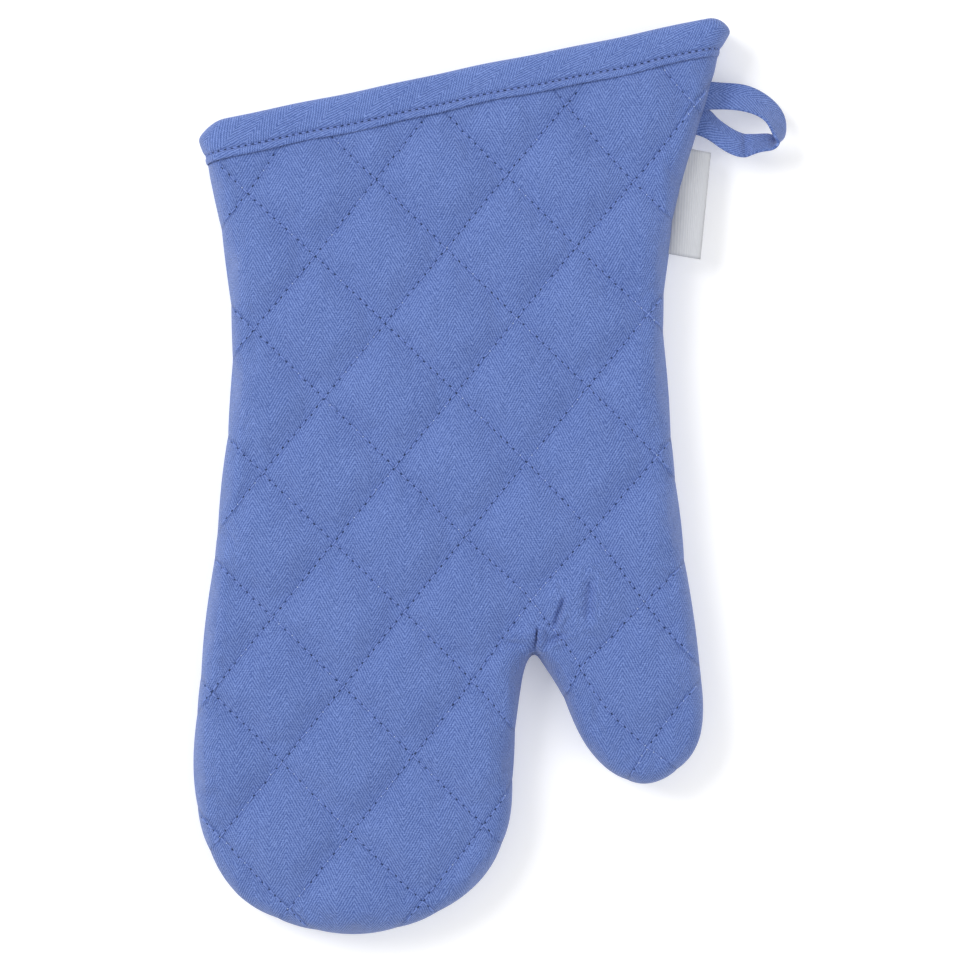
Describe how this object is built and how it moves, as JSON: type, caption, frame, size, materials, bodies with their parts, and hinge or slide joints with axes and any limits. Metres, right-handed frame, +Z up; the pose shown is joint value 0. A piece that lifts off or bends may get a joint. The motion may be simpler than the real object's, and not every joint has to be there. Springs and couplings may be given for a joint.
{
  "type": "oven mitt",
  "caption": "Quilted cotton oven mitt with a thumb, bound slanting cuff, hanging loop and blank side label, lying flat.",
  "frame": {"origin": "centre of the mitt's bounding box in X and Y, on the surface that it lies on", "axes": "+Z up out of the front panel, +Y towards the cuff, +X towards the side with the thumb, the loop and the label"},
  "size_m": [0.2142, 0.331, 0.024],
  "materials": {
    "shell_cotton": "herringbone woven cotton, blue, matt",
    "binding_cotton": "bias cut herringbone cotton, blue, matt",
    "loop_tape": "herringbone cotton tape, blue, matt",
    "lining_cotton": "plain woven cotton, blue, matt",
    "batting": "needled cotton wadding, off-white",
    "label_satin": "woven satin ribbon, pale grey, slight sheen",
    "thread": "spun sewing thread, blue"
  },
  "bodies": {
    "hand": {"front_outer_shell_hand": "shell_cotton", "back_outer_shell_hand": "shell_cotton", "front_batting_hand": "batting", "back_batting_hand": "batting", "front_lining_hand": "lining_cotton", "back_lining_hand": "lining_cotton", "front_quilting_thread_hand": "thread", "back_quilting_thread_hand": "thread", "side_seam_thread_hand": "thread", "cuff_binding": "binding_cotton", "binding_topstitch": "thread"},
    "fingers": {"front_outer_shell_fingers": "shell_cotton", "back_outer_shell_fingers": "shell_cotton", "front_batting_fingers": "batting", "back_batting_fingers": "batting", "front_lining_fingers": "lining_cotton", "back_lining_fingers": "lining_cotton", "front_quilting_thread_fingers": "thread", "back_quilting_thread_fingers": "thread", "side_seam_thread_fingers": "thread"},
    "thumb": {"front_outer_shell_thumb": "shell_cotton", "back_outer_shell_thumb": "shell_cotton", "front_batting_thumb": "batting", "back_batting_thumb": "batting", "front_lining_thumb": "lining_cotton", "back_lining_thumb": "lining_cotton", "front_quilting_thread_thumb": "thread", "back_quilting_thread_thumb": "thread", "side_seam_thread_thumb": "thread"},
    "loop": {"hanging_loop": "loop_tape"},
    "label": {"side_label": "label_satin"}
  },
  "joints": [
    {"name": "finger_bend", "type": "hinge", "parent": "hand", "child": "fingers", "pos_m": [-0.047, -0.084, 0.012], "axis": [1, 0, 0], "range_deg": [-60, 60], "stiffness_Nm_per_rad": 0.1},
    {"name": "thumb_bend", "type": "hinge", "parent": "hand", "child": "thumb", "pos_m": [0.024, -0.08, 0.012], "axis": [0.8829, 0.4695, 0], "range_deg": [-50, 50], "stiffness_Nm_per_rad": 0.02},
    {"name": "loop_swing", "type": "hinge", "parent": "hand", "child": "loop", "pos_m": [0.0755, 0.1225, 0.012], "axis": [0.3457, 0.9383, 0], "range_deg": [-80, 80], "stiffness_Nm_per_rad": 0.001},
    {"name": "label_flap", "type": "hinge", "parent": "hand", "child": "label", "pos_m": [0.066, 0.0797, 0.012], "axis": [0.1748, 0.9846, 0], "range_deg": [-70, 70], "stiffness_Nm_per_rad": 0.0001}
  ]
}
